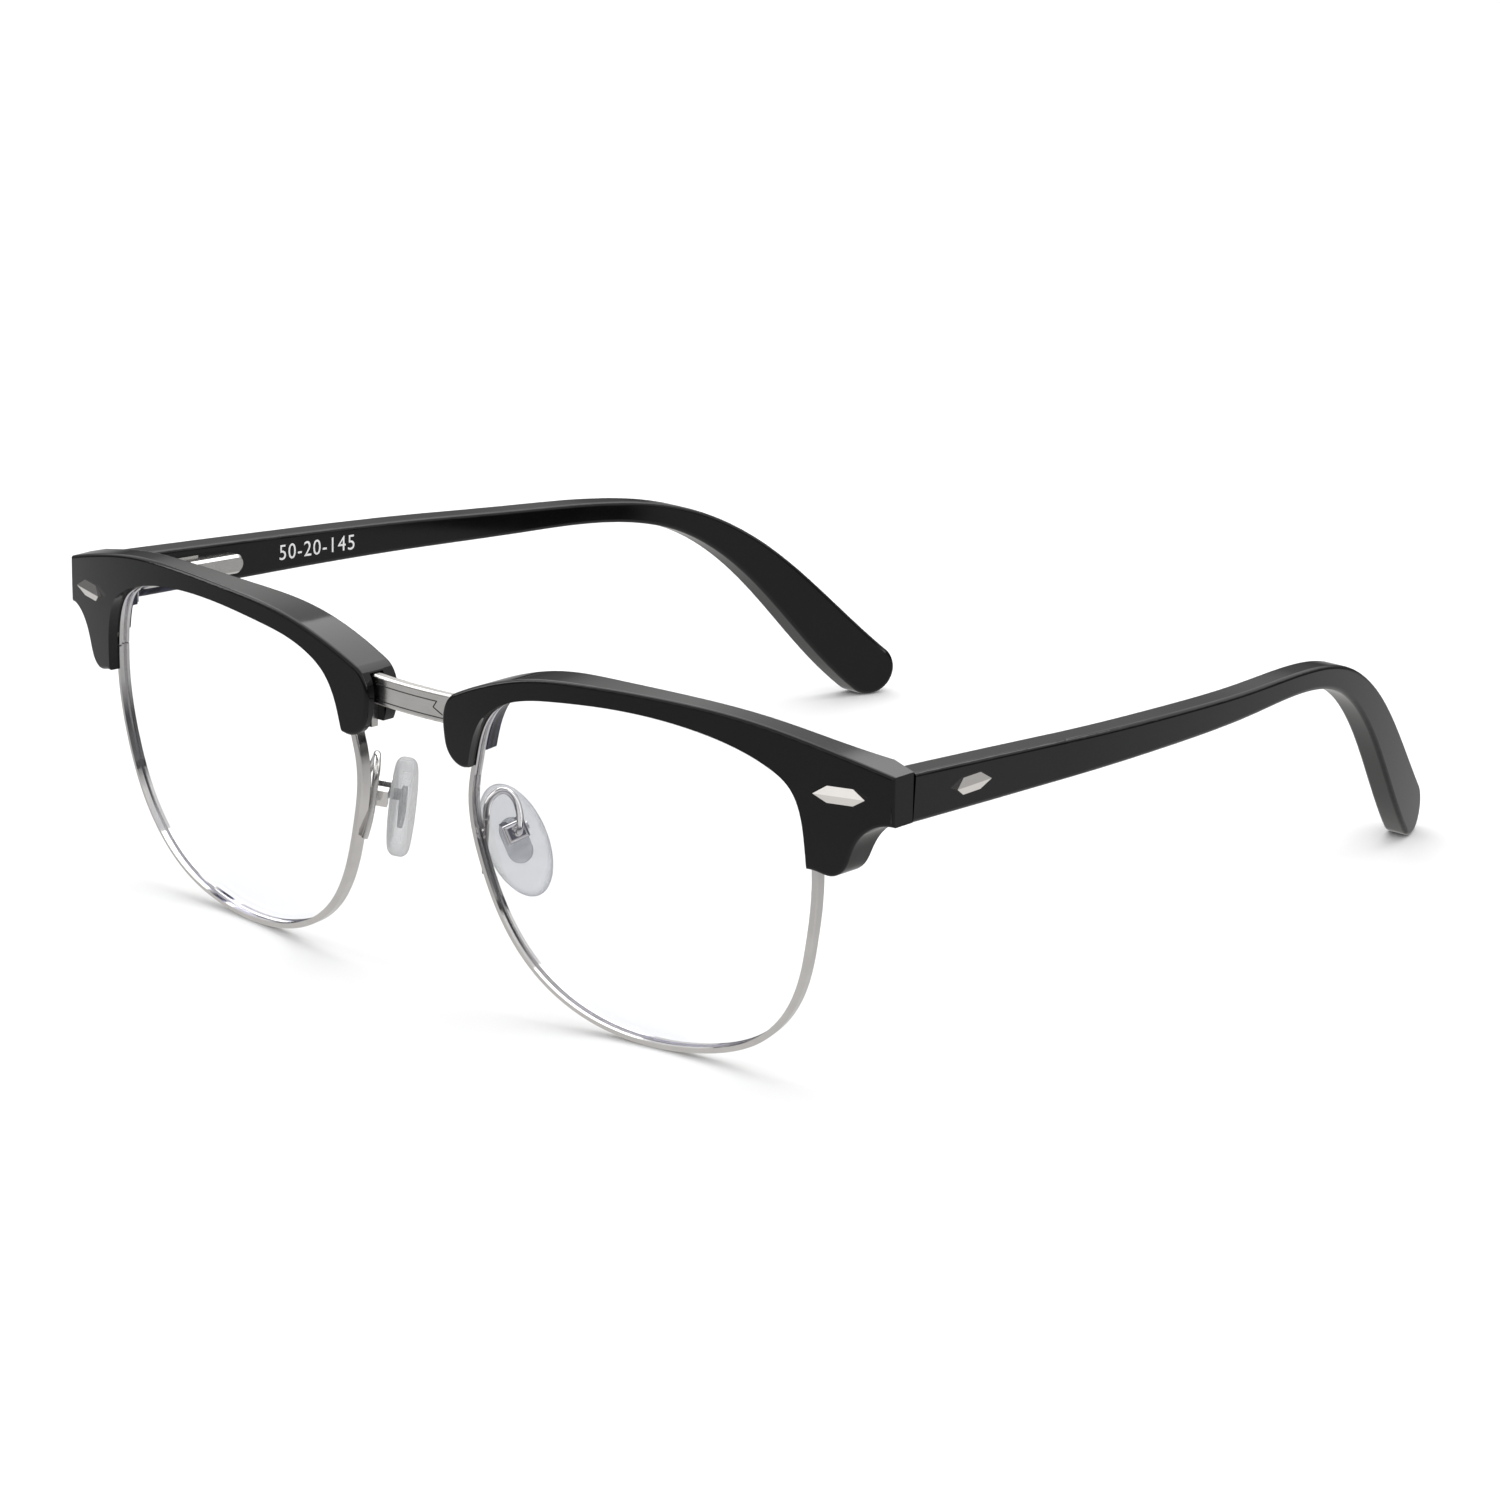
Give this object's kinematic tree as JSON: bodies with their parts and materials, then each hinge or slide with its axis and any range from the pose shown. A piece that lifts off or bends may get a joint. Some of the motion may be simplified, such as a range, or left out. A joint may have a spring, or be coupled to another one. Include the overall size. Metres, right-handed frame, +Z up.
{
  "type": "half rim eyeglasses",
  "caption": "Browline eyeglasses: black brow pieces over slim polished eyewires, satin bridge, rocking nose pads and sprung folding temples with decorative studs.",
  "frame": {"origin": "centre of the open eyeglasses' bounding box, on the surface they stand on", "axes": "+Z up, the front faces -Y, the temples run towards +Y, +X is the wearer's left"},
  "size_m": [0.141, 0.149, 0.0465],
  "materials": {
    "black_acetate": "gloss",
    "polished_rim": "polished",
    "satin_bridge": "satin",
    "stud": "polished",
    "hinge_metal": "polished",
    "steel": "satin",
    "core_wire": "satin",
    "lens": "clear",
    "insert_plastic": "clear",
    "silicone": "satin"
  },
  "bodies": {
    "front": {"bridge": "satin_bridge", "eyewire_left": "polished_rim", "eyewire_right": "polished_rim", "lens_left": "lens", "lens_right": "lens", "brow_left": "black_acetate", "brow_right": "black_acetate", "brow_screw_left": "steel", "brow_screw_right": "steel", "front_stud_left": "stud", "front_stud_right": "stud", "front_leaf_left": "hinge_metal", "front_leaf_right": "hinge_metal", "closing_block_upper_left": "hinge_metal", "closing_block_upper_right": "hinge_metal", "closing_block_lower_left": "hinge_metal", "closing_block_lower_right": "hinge_metal", "rim_lock_screw_left": "steel", "rim_lock_screw_right": "steel", "pad_arm_left": "polished_rim", "pad_arm_right": "polished_rim", "pad_holder_left": "polished_rim", "pad_holder_right": "polished_rim", "pad_screw_left": "steel", "pad_screw_right": "steel"},
    "hinge_screw_left": {"hinge_screw_left": "steel"},
    "slider_left": {"hinge_slider_left": "hinge_metal"},
    "temple_left": {"temple_left": "black_acetate", "temple_core_left": "core_wire", "temple_stud_left": "stud", "spring_box_left": "hinge_metal", "hinge_spring_left": "steel"},
    "nose_pad_left": {"pad_insert_left": "insert_plastic", "nose_pad_left": "silicone"},
    "hinge_screw_right": {"hinge_screw_right": "steel"},
    "slider_right": {"hinge_slider_right": "hinge_metal"},
    "temple_right": {"temple_right": "black_acetate", "temple_core_right": "core_wire", "temple_stud_right": "stud", "spring_box_right": "hinge_metal", "hinge_spring_right": "steel"},
    "nose_pad_right": {"pad_insert_right": "insert_plastic", "nose_pad_right": "silicone"}
  },
  "joints": [
    {"name": "temple_flex_left", "type": "hinge", "parent": "front", "child": "hinge_screw_left", "pos_m": [0.0656, -0.05886, 0.03799], "axis": [0, -0.0593, -0.9982], "range_deg": [0, 10], "stiffness_Nm_per_rad": 0.4},
    {"name": "temple_fold_left", "type": "hinge", "parent": "hinge_screw_left", "child": "slider_left", "pos_m": [0.0656, -0.05886, 0.03799], "axis": [0, 0.0593, 0.9982], "range_deg": [0, 82]},
    {"name": "spring_travel_left", "type": "slide", "parent": "slider_left", "child": "temple_left", "axis": [0, 0.9982, -0.0593], "range_m": [0, 0.0012]},
    {"name": "pad_rock_left", "type": "hinge", "parent": "front", "child": "nose_pad_left", "pos_m": [0.01153, -0.0663, 0.02243], "axis": [-0.4853, -0.7936, -0.367], "range_deg": [-10, 10]},
    {"name": "temple_flex_right", "type": "hinge", "parent": "front", "child": "hinge_screw_right", "pos_m": [-0.0656, -0.05886, 0.03799], "axis": [0, 0.0593, 0.9982], "range_deg": [0, 10], "stiffness_Nm_per_rad": 0.4},
    {"name": "temple_fold_right", "type": "hinge", "parent": "hinge_screw_right", "child": "slider_right", "pos_m": [-0.0656, -0.05886, 0.03799], "axis": [0, -0.0593, -0.9982], "range_deg": [0, 52]},
    {"name": "spring_travel_right", "type": "slide", "parent": "slider_right", "child": "temple_right", "axis": [0, 0.9982, -0.0593], "range_m": [0, 0.0012]},
    {"name": "pad_rock_right", "type": "hinge", "parent": "front", "child": "nose_pad_right", "pos_m": [-0.01153, -0.0663, 0.02243], "axis": [0.4853, -0.7936, -0.367], "range_deg": [-10, 10]}
  ],
  "couplings": [
    {"joint": "spring_travel_left", "follows": "temple_flex_left", "m_per_rad": 0.0055},
    {"joint": "spring_travel_right", "follows": "temple_flex_right", "m_per_rad": 0.0055}
  ]
}
